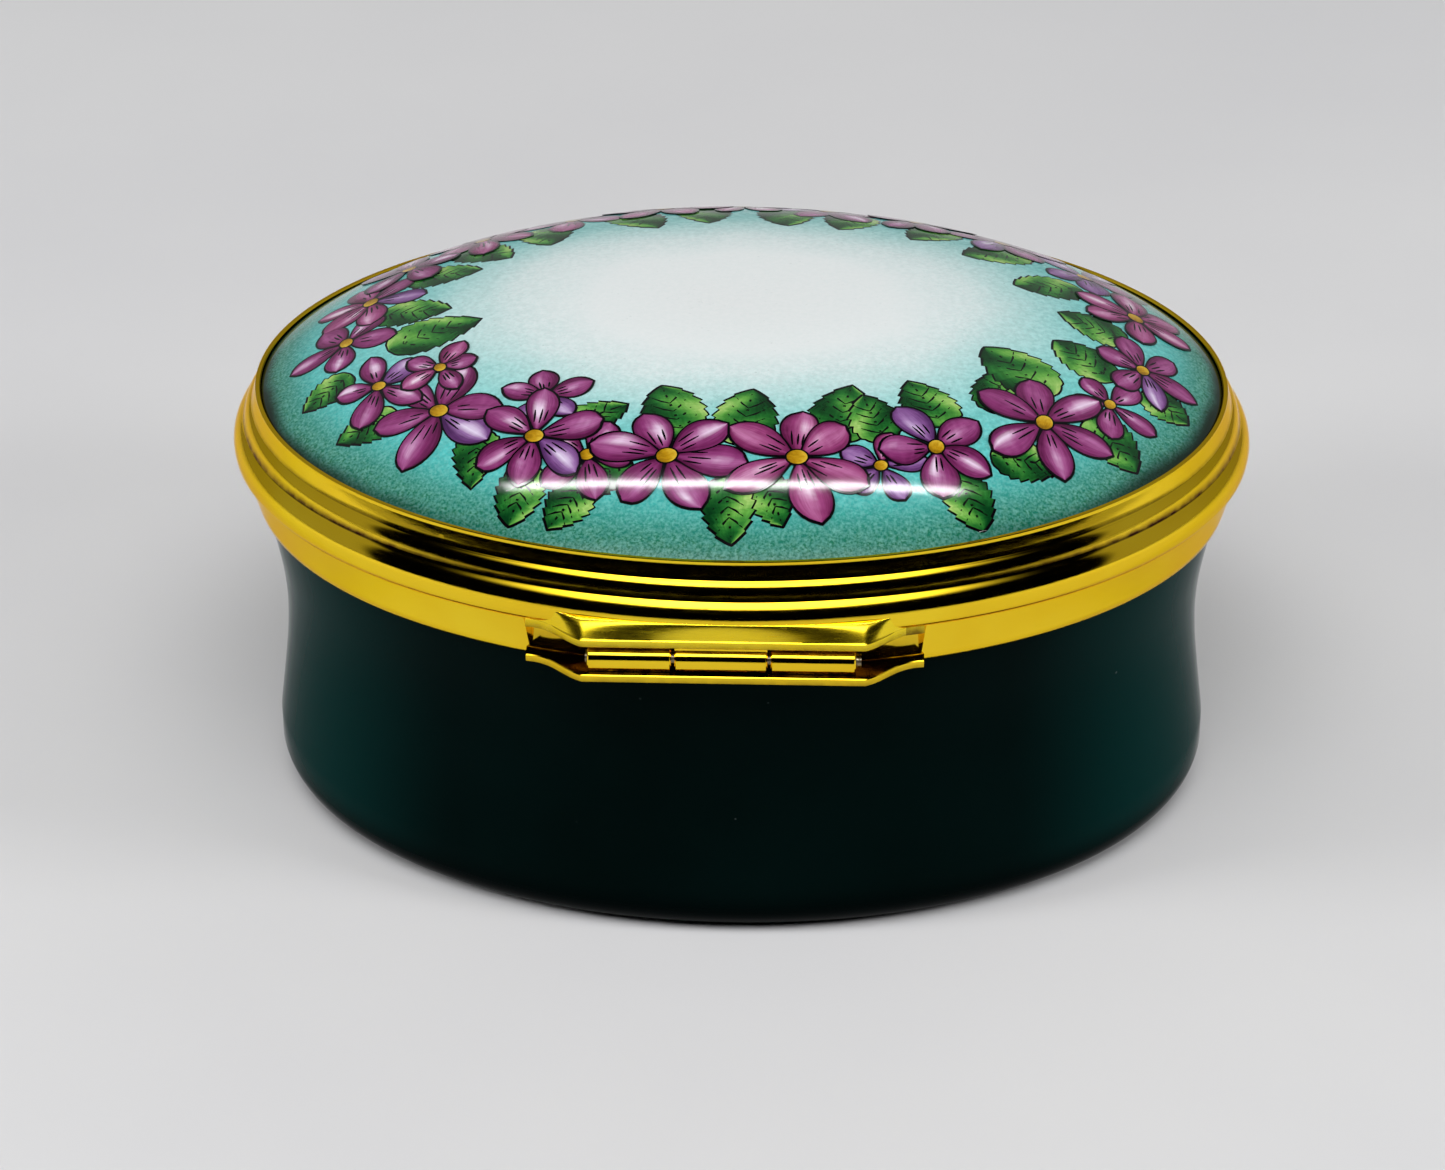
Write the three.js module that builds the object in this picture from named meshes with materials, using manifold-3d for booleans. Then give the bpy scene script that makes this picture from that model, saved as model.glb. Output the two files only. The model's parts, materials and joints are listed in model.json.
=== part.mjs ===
// An oval enamelled pill box with a hinged, domed lid. Millimetres, +Z up, origin at the centre of
// the flat underside. The long axis lies along X and the hinge is on the -Y side.
//
// Both halves are enamelled copper: a pressed copper core between an outer and an inner enamel skin.
// Each half is held in a gilt brass mount, and the two mounts are joined by a three-barrel hinge.
import * as THREE from "three";
import { mergeVertices } from "three/addons/utils/BufferGeometryUtils.js";
import Module from "manifold-3d";

const wasm = await Module();
wasm.setup();

// ---- driving dimensions ----------------------------------------------------------------------
// A profile is a list of (r, z) points, where r is the oval's half width along Y. The half length
// along X is r + STRETCH, so that nested ovals keep an even gap all the way round.
const STRETCH = 5.6;
const SIDES = 40; // facets round every oval
const BOWL_CORE = 17.5; // half width inside which the bowl's ovals shrink to a point in proportion
const DOME_CORE = 19.8; // the same for the lid
const GAP = 0.04; // between pieces that are soldered, crimped or fused together

const OUTER_ENAMEL = 0.35;
const COPPER = 0.5;
const INNER_ENAMEL = 0.35;
const WALL = OUTER_ENAMEL + COPPER + INNER_ENAMEL + 2 * GAP;

const PARTING = 18.88; // height of the joint between the lid's mount and the base's
const BOWL = { foot: 2.1, belly: 19.5, bellyZ: 3.2, waist: 18.95, neck: 19.9, rim: 17.95 };
const BAND = { foot: 16.46, rFoot: 20.26, rTop: 20.98, bore: 19.96, flange: 0.52, mouth: 18.5 };
const COLLAR = { inner: 19.3, outer: 19.65, rise: 0.97 };

const DOME = { edge: 19.8, z: 22.5, rise: 4.83, roll: 3.465, shoulder: 0.98, seat: 21.2 };
const LIP = { bore: 19.87, outer: 20.12, top: 22.64, under: 22.48 };
// The lid mount's two rolls, as arcs in degrees above level, and the crease between them.
const HEM = 21.1;
const CREST = { r: 19.9, z: 19.6, radius: 1.5, from: -14, to: 50, parts: 7 };
const CREASE = [20.84, 20.775];
const STEP = { r: 19.78, z: 20.9, radius: 1, from: 18, to: 52, parts: 4 };
const SEAT = { inner: 18.6, top: 20.95, bottom: 20.4 };

const HINGE = {
  shift: -0.2, // the hinge sits a little off the centre line
  y: -20.9,
  z: 17.56,
  front: -21.6, // straight front edge of both leaves
  halfEdge: 7.13, // half length of that edge
  halfWing: 10.05, // half length over the ogee wings
  barrel: 0.68,
  bore: 0.37,
  pin: 0.33,
  recess: 20.14, // half width of the oval wall behind the barrels
};
// The ogee at each end of a leaf: where it leaves the mount, and its two control points.
const OGEE = { startY: -19.55, hug: [8.6, -19.7], sweep: [8.3, -20.9], back: -18 };
const LID_LEAF = { bottom: 18.45, edge: 19.4, root: 19.7, rootY: -21.5 };
const BASE_LEAF = { bottom: 16.42, top: 16.84 };
const KNUCKLES = { left: [-6.83, -2.63], middle: [-2.45, 2.2], right: [2.38, 6.63] };
const PIN_ENDS = [-6.95, 6.9];
const THUMB = {
  halfWidth: 3.1,
  waist: 2.4,
  tip: 1.9,
  root: 20.9,
  reach: 21.9,
  bottom: 19.0,
  top: 19.8,
};
const CATCH = { halfWidth: 1.5, radius: 0.22, proud: 0.12, z: 19.4 };

// ---- materials -------------------------------------------------------------------------------
const material = (color, roughness, metalness) =>
  new THREE.MeshStandardMaterial({ color, roughness, metalness });
const gilt = material(0xc9a227, 0.25, 1);
const copper = material(0xb8734a, 0.4, 1);
const steel = material(0x9a9a95, 0.35, 1);
const darkGreen = material(0x06130f, 0.12, 0);
const turquoise = material(0x55a79b, 0.15, 0);
const white = material(0xe9e6dc, 0.2, 0);
const bedding = material(0xb7ae98, 0.9, 0);

// ---- solids ----------------------------------------------------------------------------------
function solidOf(geometry) {
  const bare = geometry.clone();
  bare.deleteAttribute("normal");
  bare.deleteAttribute("uv");
  const merged = mergeVertices(bare, 1e-4);
  const mesh = new wasm.Mesh({
    numProp: 3,
    vertProperties: merged.attributes.position.array,
    triVerts: new Uint32Array(merged.index.array),
  });
  return new wasm.Manifold(mesh);
}

function geometryOf(solid) {
  const mesh = solid.getMesh();
  const geometry = new THREE.BufferGeometry();
  geometry.setAttribute("position", new THREE.BufferAttribute(mesh.vertProperties, 3));
  geometry.setIndex(new THREE.BufferAttribute(mesh.triVerts, 1));
  return geometry;
}

const cut = (from, ...tools) =>
  geometryOf(tools.reduce((solid, tool) => solid.subtract(solidOf(tool)), solidOf(from)));
const common = (a, b) => geometryOf(solidOf(a).intersect(solidOf(b)));

// ---- ovals -----------------------------------------------------------------------------------
const points = (pairs) => pairs.map(([r, z]) => new THREE.Vector2(r, z));

// Twice the signed area under a profile tells which way round it runs.
function facingOut(profile) {
  let area = 0;
  profile.forEach((p, i) => {
    const q = profile[(i + 1) % profile.length];
    area += p.x * q.y - q.x * p.y;
  });
  return area > 0 ? profile : [...profile].reverse();
}

// Spins a profile about Z, then stretches the round result into an oval.
function oval(profile, core) {
  const outline = facingOut(profile);
  const closed = outline[0].x > 0 || outline.at(-1).x > 0;
  const spun = new THREE.LatheGeometry(closed ? [...outline, outline[0]] : outline, SIDES);
  spun.rotateX(Math.PI / 2);
  const place = spun.attributes.position;
  for (let i = 0; i < place.count; i++) {
    const r = Math.hypot(place.getX(i), place.getY(i));
    const reach = r + STRETCH * Math.min(1, r / core);
    if (r > 0) place.setX(i, (place.getX(i) * reach) / r);
  }
  return spun;
}

const ring = (rInner, rOuter, bottom, top, core) =>
  oval(points([[rInner, bottom], [rOuter, bottom], [rOuter, top], [rInner, top]]), core);

// An upright oval block, used to cut pieces to the curve of a mount.
function ovalBlock(r, bottom, top) {
  return oval(points([[0, bottom], [r, bottom], [r, top], [0, top]]), BOWL_CORE);
}

// An open curve moved sideways by a distance to its left, with mitred corners. The first point
// stays on the axis and the last stays on its own level.
function inset(curve, distance) {
  return curve.map((p, i) => {
    const before = curve[Math.max(0, i - 1)];
    const after = curve[Math.min(curve.length - 1, i + 1)];
    const a = p.clone().sub(before).normalize();
    const b = after.clone().sub(p).normalize();
    if (i === 0) a.copy(b);
    if (i === curve.length - 1) b.copy(a);
    const mitre = a.clone().add(b).normalize();
    const reach = distance / mitre.dot(a);
    const moved = new THREE.Vector2(p.x - mitre.y * reach, p.y + mitre.x * reach);
    if (i === 0) moved.set(0, p.y + distance);
    if (i === curve.length - 1) moved.y = p.y;
    return moved;
  });
}

// One skin of a shell, between two depths measured from the shell's outer curve.
const skin = (curve, from, to) => [...inset(curve, from), ...inset(curve, to).reverse()];

// ---- enamelled bowl --------------------------------------------------------------------------
function bowlCurve() {
  const rounding = new THREE.Path();
  const footR = BOWL.belly - BOWL.foot;
  rounding.absarc(footR, BOWL.foot, BOWL.foot, -Math.PI / 2, -0.12, false);
  const side = new THREE.SplineCurve(
    points([
      [BOWL.belly, BOWL.bellyZ],
      [BOWL.waist, 8.3],
      [BOWL.waist + 0.1, 12],
      [BOWL.neck, 16.4],
    ]),
  );
  return [
    new THREE.Vector2(0, 0),
    ...rounding.getPoints(2),
    ...side.getPoints(4),
    new THREE.Vector2(BOWL.neck, BOWL.rim),
  ];
}

// ---- enamelled dome --------------------------------------------------------------------------
function domeCurve() {
  const steps = [0, 0.42, 0.66, 0.82, 0.92, 0.97, 1];
  const crown = steps.map((share) => {
    const z = DOME.z + DOME.rise * (1 - share ** DOME.roll) ** DOME.shoulder;
    return new THREE.Vector2(DOME.edge * share, z);
  });
  return [...crown, new THREE.Vector2(DOME.edge, DOME.seat)];
}

// ---- mounts ----------------------------------------------------------------------------------
function roll({ r, z, radius, from, to, parts }, gap = 0) {
  return Array.from({ length: parts + 1 }, (_, i) => {
    const angle = THREE.MathUtils.degToRad(from + ((to - from) * i) / parts);
    return [r + (radius + gap) * Math.cos(angle), z + (radius + gap) * Math.sin(angle)];
  });
}

function lidBezelProfile() {
  return points([
    [LIP.bore, PARTING + 0.02],
    [HEM, PARTING + 0.02],
    ...roll(CREST),
    CREASE,
    ...roll(STEP),
    [LIP.outer, LIP.under],
    [LIP.outer, LIP.top],
    [LIP.bore, LIP.top],
  ]);
}

// The lid mount's outside with a little room round it, used to fit pieces against it.
function aroundCrest(gap) {
  const crest = roll(CREST, gap);
  const bottom = PARTING - 0.02;
  const inner = BAND.rTop - 2;
  return oval(
    points([[inner, bottom], [HEM + gap, bottom], ...crest, [inner, crest.at(-1)[1]]]),
    BOWL_CORE,
  );
}

function baseBezelProfile() {
  const flangeZ = PARTING - BAND.flange;
  return points([
    [BAND.bore, BAND.foot],
    [BAND.rFoot, BAND.foot],
    [BAND.rTop, PARTING],
    [BAND.mouth, PARTING],
    [BAND.mouth, flangeZ],
    [BAND.bore, flangeZ],
  ]);
}

// ---- hinge -----------------------------------------------------------------------------------
// A leaf seen from above: a straight front edge that runs back to the mount in an ogee at each end.
function leafPlan(front) {
  const { halfEdge, halfWing } = HINGE;
  const { startY, hug, sweep, back } = OGEE;
  const plan = new THREE.Shape();
  plan.moveTo(-halfWing, back);
  plan.lineTo(-halfWing, startY);
  plan.bezierCurveTo(-hug[0], hug[1], -sweep[0], sweep[1], -halfEdge, front);
  plan.lineTo(halfEdge, front);
  plan.bezierCurveTo(sweep[0], sweep[1], hug[0], hug[1], halfWing, startY);
  plan.lineTo(halfWing, back);
  return plan;
}

function raised(shape, bottom, top, curveSegments) {
  const solid = new THREE.ExtrudeGeometry(shape, {
    depth: top - bottom,
    bevelEnabled: false,
    curveSegments,
  });
  return solid.translate(HINGE.shift, 0, bottom);
}

// A section drawn as (y, z) and pushed along X.
function alongX(shape, [from, to], curveSegments) {
  const solid = new THREE.ExtrudeGeometry(shape, {
    depth: to - from,
    bevelEnabled: false,
    curveSegments,
  });
  return solid.rotateX(Math.PI / 2).rotateZ(Math.PI / 2).translate(from + HINGE.shift, 0, 0);
}

// The lid's leaf is a pad against the mount, rounded over at the top of its front edge.
function lidLeaf() {
  const { bottom, edge, root, rootY } = LID_LEAF;
  const plan = raised(leafPlan(HINGE.front), bottom, root, 5);
  const section = new THREE.Shape();
  section.moveTo(-17, bottom - 1);
  section.lineTo(-17, root);
  section.lineTo(rootY, root);
  section.quadraticCurveTo(HINGE.front, root, HINGE.front, edge);
  section.lineTo(HINGE.front - 1, edge);
  section.lineTo(HINGE.front - 1, bottom - 1);
  const shaped = common(plan, alongX(section, [-12, 12], 5));
  const foot = ovalBlock(HINGE.recess + 0.1, bottom - 1, root + 1);
  return cut(shaped, aroundCrest(GAP), foot);
}

function baseLeaf() {
  const plan = raised(leafPlan(HINGE.front + 0.05), BASE_LEAF.bottom, BASE_LEAF.top, 5);
  return cut(plan, ovalBlock(BAND.rFoot + 0.16, BASE_LEAF.bottom - 1, BASE_LEAF.top + 1));
}

// Everything outside the oval wall behind the barrels, over the length of the wings.
function recess() {
  const half = HINGE.halfWing + 0.08;
  const block = new THREE.BoxGeometry(2 * half, 8, 4);
  block.translate(HINGE.shift, -22, BASE_LEAF.top + GAP + 2);
  return cut(block, ovalBlock(HINGE.recess, 10, 25));
}

// A barrel with a web: up to the lid's leaf, or down to the base's.
function knuckle(span, webEnd) {
  const { y, z, barrel, bore } = HINGE;
  const side = Math.sign(webEnd - z);
  const webHalf = 0.3;
  const meet = Math.asin(webHalf / barrel);
  const up = (side * Math.PI) / 2;
  const section = new THREE.Shape();
  section.absarc(y, z, barrel, up + meet, up - meet + 2 * Math.PI, false);
  section.lineTo(y + side * webHalf, webEnd);
  section.lineTo(y - side * webHalf, webEnd);
  const hole = new THREE.Path();
  hole.absarc(y, z, bore, 0, 2 * Math.PI, true);
  section.holes.push(hole);
  return alongX(section, span, 16);
}

function pin() {
  const section = new THREE.Shape();
  section.absarc(HINGE.y, HINGE.z, HINGE.pin, 0, 2 * Math.PI, false);
  return alongX(section, PIN_ENDS, 16);
}

// ---- catch side ------------------------------------------------------------------------------
function thumbLip() {
  const { halfWidth, waist, tip, root, reach, bottom, top } = THUMB;
  const back = 19;
  const plan = new THREE.Shape();
  plan.moveTo(-halfWidth, back);
  plan.lineTo(halfWidth, back);
  plan.lineTo(halfWidth, root);
  plan.bezierCurveTo(waist, root + 0.2, tip, reach, 0, reach);
  plan.bezierCurveTo(-tip, reach, -waist, root + 0.2, -halfWidth, root);
  const block = raised(plan, bottom, top, 6).translate(-HINGE.shift, 0, 0);
  return cut(block, aroundCrest(GAP));
}

function catchBead() {
  const bead = new THREE.CapsuleGeometry(CATCH.radius, 2 * CATCH.halfWidth, 3, 10);
  bead.rotateZ(Math.PI / 2).translate(0, COLLAR.outer + CATCH.proud - CATCH.radius, CATCH.z);
  return cut(bead, ovalBlock(COLLAR.outer + 0.02, CATCH.z - 1, CATCH.z + 1));
}

// ---- assembly --------------------------------------------------------------------------------
const box = new THREE.Group();
const base = new THREE.Group();
const lid = new THREE.Group();
box.add(base, lid);

function add(group, name, geometry, look) {
  const mesh = new THREE.Mesh(geometry, look);
  mesh.name = name;
  group.add(mesh);
}

const bowl = bowlCurve();
const dome = domeCurve();
const copperFrom = OUTER_ENAMEL + GAP;
const innerFrom = copperFrom + COPPER + GAP;

add(base, "base_outer_enamel", oval(skin(bowl, 0, OUTER_ENAMEL), BOWL_CORE), darkGreen);
add(base, "base_copper_bowl", oval(skin(bowl, copperFrom, copperFrom + COPPER), BOWL_CORE), copper);
add(base, "base_inner_enamel", oval(skin(bowl, innerFrom, WALL), BOWL_CORE), white);
add(
  base,
  "base_bedding_ring",
  ring(BOWL.neck - WALL, BAND.bore - GAP, BOWL.rim + GAP, PARTING - BAND.flange - GAP, BOWL_CORE),
  bedding,
);
add(base, "base_bezel", cut(oval(baseBezelProfile(), BOWL_CORE), recess()), gilt);
add(
  base,
  "base_collar",
  ring(COLLAR.inner, COLLAR.outer, PARTING + GAP, PARTING + COLLAR.rise, BOWL_CORE),
  gilt,
);
add(base, "base_catch_bead", catchBead(), gilt);
add(base, "base_hinge_leaf", baseLeaf(), gilt);
add(base, "base_knuckle_left", knuckle(KNUCKLES.left, BASE_LEAF.top + GAP), gilt);
add(base, "base_knuckle_right", knuckle(KNUCKLES.right, BASE_LEAF.top + GAP), gilt);
add(base, "hinge_pin", pin(), steel);

add(lid, "lid_outer_enamel", oval(skin(dome, 0, -OUTER_ENAMEL), DOME_CORE), turquoise);
add(lid, "lid_copper_dome", oval(skin(dome, -copperFrom, -copperFrom - COPPER), DOME_CORE), copper);
add(lid, "lid_inner_enamel", oval(skin(dome, -innerFrom, -WALL), DOME_CORE), white);
add(
  lid,
  "lid_bedding_ring",
  ring(SEAT.inner, LIP.bore - GAP, SEAT.top + GAP, DOME.seat - GAP, DOME_CORE),
  bedding,
);
add(lid, "lid_seat_ring", ring(SEAT.inner, LIP.bore - GAP, SEAT.bottom, SEAT.top, DOME_CORE), gilt);
add(lid, "lid_bezel", oval(lidBezelProfile(), BOWL_CORE), gilt);
add(lid, "lid_hinge_leaf", lidLeaf(), gilt);
add(lid, "lid_knuckle_middle", knuckle(KNUCKLES.middle, LID_LEAF.bottom - GAP), gilt);
add(lid, "lid_thumb_lip", thumbLip(), gilt);

export default box;
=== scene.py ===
"""An oval enamelled pill box with gilt mounts and a painted wreath of violets on its lid.

Lengths inside the script are millimetres in the frame's axes; MM turns them into Blender's metres.
"""

import copy
import json
import math
import random

import bmesh
import bpy
import numpy as np
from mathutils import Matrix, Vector


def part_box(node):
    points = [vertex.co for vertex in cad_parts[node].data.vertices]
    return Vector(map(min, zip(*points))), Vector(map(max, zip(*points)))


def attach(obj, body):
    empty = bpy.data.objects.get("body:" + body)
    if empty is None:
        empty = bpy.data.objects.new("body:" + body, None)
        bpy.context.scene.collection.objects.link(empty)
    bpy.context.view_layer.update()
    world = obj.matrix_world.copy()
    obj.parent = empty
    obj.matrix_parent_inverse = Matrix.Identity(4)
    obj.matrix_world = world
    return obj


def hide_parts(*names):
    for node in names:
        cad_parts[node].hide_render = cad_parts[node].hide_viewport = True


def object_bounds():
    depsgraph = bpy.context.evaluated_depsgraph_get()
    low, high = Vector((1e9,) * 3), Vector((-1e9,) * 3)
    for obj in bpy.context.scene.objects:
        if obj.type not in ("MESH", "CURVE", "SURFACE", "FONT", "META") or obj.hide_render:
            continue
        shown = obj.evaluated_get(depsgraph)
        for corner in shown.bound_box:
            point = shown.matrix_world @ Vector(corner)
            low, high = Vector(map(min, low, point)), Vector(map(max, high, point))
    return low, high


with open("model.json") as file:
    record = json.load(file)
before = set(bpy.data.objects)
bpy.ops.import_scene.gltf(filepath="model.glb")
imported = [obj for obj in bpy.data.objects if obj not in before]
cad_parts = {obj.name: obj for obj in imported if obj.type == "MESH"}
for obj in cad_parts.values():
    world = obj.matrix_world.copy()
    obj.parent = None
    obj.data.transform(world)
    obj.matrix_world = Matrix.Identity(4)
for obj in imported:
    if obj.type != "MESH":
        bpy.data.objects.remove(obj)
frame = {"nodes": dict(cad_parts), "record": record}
cad_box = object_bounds()
MM = 0.001


# ---- sizes read from the frame -----------------------------------------------------------------
def node_box(node):
    """Lowest and highest corner of a CAD node, in millimetres."""
    lo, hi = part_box(node)
    return Vector(lo) / MM, Vector(hi) / MM


lid_lo, lid_hi = node_box("lid_bezel")
base_lo, base_hi = node_box("base_bezel")
dome_lo, dome_hi = node_box("lid_outer_enamel")
_, bowl_hi = node_box("base_outer_enamel")
collar_lo, collar_hi = node_box("base_collar")
seat_lo, seat_hi = node_box("lid_seat_ring")
leaf_lo, leaf_hi = node_box("lid_hinge_leaf")
plate_lo, plate_hi = node_box("base_hinge_leaf")

STRETCH = lid_hi.x - lid_hi.y  # how much longer than wide every oval is, on each side
BEAD_R = lid_hi.y  # half width over the large roll of the lid's mount
DOME_R = dome_hi.y  # half width of the enamelled dome at its edge
DOME_A = DOME_R + STRETCH  # half length there
# Half width inside which the ovals of the bowl and its mounts, or of the dome, shrink to a point.
BOWL_CORE, DOME_CORE = 17.5, DOME_R
PARTING = base_hi.z  # height of the joint between the two mounts
SIDES = 240
SAME_POINT = 1e-7  # metres between points that are one point


# ---- mesh helpers ------------------------------------------------------------------------------
def rounded(corners, steps=4):
    """A polyline from (r, z, radius) or (r, z, radius, dirt and painted shade) corners, each corner
    rounded.
    """
    out = []
    count = len(corners)
    for i, corner in enumerate(corners):
        r, z, radius = corner[:3]
        dirt_and_shade = corner[3] if len(corner) > 3 else 0.0
        here = np.array([r, z], float)
        if radius <= 0:
            out.append((r, z, dirt_and_shade))
            continue
        before = np.array(corners[i - 1][:2], float) - here
        after = np.array(corners[(i + 1) % count][:2], float) - here
        start = here + before / np.linalg.norm(before) * min(radius, np.linalg.norm(before) / 2)
        end = here + after / np.linalg.norm(after) * min(radius, np.linalg.norm(after) / 2)
        for step in range(steps + 1):
            u = step / steps
            p = start * (1 - u) ** 2 + here * 2 * u * (1 - u) + end * u * u
            out.append((p[0], p[1], dirt_and_shade))
    return out


def arc(r, z, radius, start, end, steps):
    """Clean, unshaded (r, z, dirt and painted shade) points on an arc, angles in radians from +r
    towards +z.
    """
    out = []
    for step in range(steps + 1):
        angle = start + (end - start) * step / steps
        out.append((r + radius * math.cos(angle), z + radius * math.sin(angle), 0.0))
    return out


def face_outwards(mesh, merge=False):
    """Turns every face outwards. merge first joins the points that meet, as on the axis."""
    work = bmesh.new()
    work.from_mesh(mesh)
    if merge:
        bmesh.ops.remove_doubles(work, verts=work.verts, dist=SAME_POINT)
        bmesh.ops.dissolve_degenerate(work, edges=work.edges, dist=SAME_POINT)
    bmesh.ops.recalc_face_normals(work, faces=work.faces)
    work.to_mesh(mesh)
    work.free()


def store_dirt_and_shade(mesh, values):
    """How dirty and how deep in painted shade each point is, 0 to 1, for the gilt material."""
    mesh.attributes.new("dirt_and_shade", "FLOAT", "POINT").data.foreach_set("value", values)


def finish_mesh(piece, mesh, sharp=35):
    """Smooth faces, sharp only where the surface folds."""
    mesh.polygons.foreach_set("use_smooth", [True] * len(mesh.polygons))
    mesh.set_sharp_from_angle(angle=math.radians(sharp))
    bpy.context.scene.collection.objects.link(piece)
    return piece


def oval_ring(name, columns, core):
    """A piece swept round the oval. columns is a list of (angle, profile), every profile a list of
    (r, z, dirt and painted shade) points of the same length. A profile that starts and ends on
    the axis closes there."""
    profiles = np.array([[p[:3] for p in profile] for _, profile in columns], float)
    angles = np.array([angle for angle, _ in columns])[:, None]
    r, z = profiles[:, :, 0], profiles[:, :, 1]
    reach = r + STRETCH * np.minimum(1, r / core)
    points = np.stack([reach * np.cos(angles), r * np.sin(angles), z], axis=2)
    rings, count = r.shape
    open_ends = abs(r[0, 0]) < 1e-9
    faces = []
    for i in range(rings):
        k = (i + 1) % rings
        for j in range(count - 1 if open_ends else count):
            n = (j + 1) % count
            faces.append((i * count + j, k * count + j, k * count + n, i * count + n))
    mesh = bpy.data.meshes.new(name)
    mesh.from_pydata((points.reshape(-1, 3) * MM).tolist(), [], faces)
    store_dirt_and_shade(mesh, profiles[:, :, 2].reshape(-1))
    face_outwards(mesh, merge=True)
    return finish_mesh(bpy.data.objects.new(name, mesh), mesh)


def turn(name, profile, core):
    """The same profile all the way round."""
    return oval_ring(name, [(2 * math.pi * i / SIDES, profile) for i in range(SIDES)], core)


def inset(curve, distance):
    """An open (r, z) curve moved to its left by a distance, first point kept on the axis."""
    points = np.array([p[:2] for p in curve], float)
    ahead = np.gradient(points, axis=0)
    ahead /= np.linalg.norm(ahead, axis=1)[:, None]
    left = np.stack([-ahead[:, 1], ahead[:, 0]], axis=1)
    moved = points + left * distance
    moved[0] = (0, points[0, 1] + distance)
    moved[-1, 1] = points[-1, 1]
    return [(max(0.0, p[0]), p[1], 0.0) for p in moved]


def skin(name, curve, outer, inner, core):
    """A closed shell between two depths below a curve that runs from the axis to the rim."""
    profile = inset(curve, outer) + inset(curve, inner)[::-1]
    return turn(name, profile, core)


def stand_in(piece, material, body, slot, *nodes):
    """Puts a detailed piece on its body in place of CAD nodes."""
    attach(piece, body)
    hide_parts(*nodes)
    piece.data.materials.append(material)
    return piece


# ---- colours and node helpers ------------------------------------------------------------------
def srgb(*levels):
    """A colour given in the usual 0 to 255 levels, as linear RGBA."""
    out = []
    for level in levels:
        c = level / 255
        out.append(c / 12.92 if c <= 0.04045 else ((c + 0.055) / 1.055) ** 2.4)
    return (*out, 1.0)


class Nodes:
    """Short names for building a node tree."""

    def __init__(self, tree):
        self.tree = tree

    def new(self, kind, **settings):
        node = self.tree.nodes.new(kind)
        for key, value in settings.items():
            setattr(node, key, value)
        return node

    def link(self, source, target):
        self.tree.links.new(source, target)

    def put(self, socket, value):
        """Links a socket, or sets a plain value."""
        if isinstance(value, bpy.types.NodeSocket):
            self.link(value, socket)
        else:
            socket.default_value = value

    def where(self, space="Object"):
        return self.new("ShaderNodeTexCoord").outputs[space]

    def axes(self, space="Object"):
        """The X, Y and Z of each point, in metres, or of each direction in a world."""
        parts = self.new("ShaderNodeSeparateXYZ")
        self.link(self.where(space), parts.inputs[0])
        return [parts.outputs[axis] for axis in "XYZ"]

    def attribute(self, name, output="Fac"):
        return self.new("ShaderNodeAttribute", attribute_name=name).outputs[output]

    def noise(self, scale, detail=3.0, roughness=0.5, vector=None):
        """scale is features per metre."""
        node = self.new("ShaderNodeTexNoise")
        self.link(vector or self.where(), node.inputs["Vector"])
        node.inputs["Scale"].default_value = scale
        node.inputs["Detail"].default_value = detail
        node.inputs["Roughness"].default_value = roughness
        return node.outputs["Fac"]

    def spots(self, scale):
        """Distance to the nearest of many scattered points."""
        node = self.new("ShaderNodeTexVoronoi")
        self.link(self.where(), node.inputs["Vector"])
        node.inputs["Scale"].default_value = scale
        return node.outputs["Distance"]

    def stretched(self, x, y, z):
        """Coordinates scaled along each axis, to draw a texture out across the larger ones."""
        node = self.new("ShaderNodeMapping")
        self.link(self.where(), node.inputs["Vector"])
        node.inputs["Scale"].default_value = (x, y, z)
        return node.outputs["Vector"]

    def remap(self, value, low, high, to_low=0.0, to_high=1.0, smooth=False):
        node = self.new("ShaderNodeMapRange")
        if smooth:
            node.interpolation_type = "SMOOTHSTEP"
        self.put(node.inputs["Value"], value)
        node.inputs["From Min"].default_value = low
        node.inputs["From Max"].default_value = high
        node.inputs["To Min"].default_value = to_low
        node.inputs["To Max"].default_value = to_high
        return node.outputs["Result"]

    def calc(self, operation, a, b=0.0):
        node = self.new("ShaderNodeMath", operation=operation)
        self.put(node.inputs[0], a)
        self.put(node.inputs[1], b)
        return node.outputs["Value"]

    def mix(self, factor, a, b, blend="MIX"):
        node = self.new("ShaderNodeMix", data_type="RGBA", blend_type=blend)
        self.put(node.inputs["Factor"], factor)
        self.put(node.inputs["A"], a)
        self.put(node.inputs["B"], b)
        return node.outputs["Result"]

    def ramp(self, value, *stops):
        node = self.new("ShaderNodeValToRGB")
        self.link(value, node.inputs["Fac"])
        elements = node.color_ramp.elements
        while len(elements) < len(stops):
            elements.new(0.5)
        for element, (position, colour) in zip(elements, stops):
            element.position = position
            element.color = colour
        return node.outputs["Color"]

    def bump(self, height, distance_mm, strength=1.0, after=None):
        node = self.new("ShaderNodeBump")
        self.link(height, node.inputs["Height"])
        node.inputs["Distance"].default_value = distance_mm * MM
        node.inputs["Strength"].default_value = strength
        if after is not None:
            self.link(after, node.inputs["Normal"])
        return node.outputs["Normal"]


class MaterialNodes(Nodes):
    """A new material and its node tree."""

    def __init__(self, name):
        self.material = bpy.data.materials.new(name)
        self.material.use_nodes = True
        super().__init__(self.material.node_tree)
        self.shader = self.tree.nodes["Principled BSDF"]

    def surface(self, **sockets):
        for name, value in sockets.items():
            self.put(self.shader.inputs[name.replace("_", " ")], value)
        return self.material


def dome_reach(n, half_length, half_width):
    """0 at the middle of the lid, 1 on an oval of the given half sizes in millimetres."""
    x, y, _ = n.axes()
    x = n.calc("DIVIDE", x, half_length * MM)
    y = n.calc("DIVIDE", y, half_width * MM)
    squares = n.calc("ADD", n.calc("MULTIPLY", x, x), n.calc("MULTIPLY", y, y))
    return n.calc("SQRT", squares)


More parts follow.
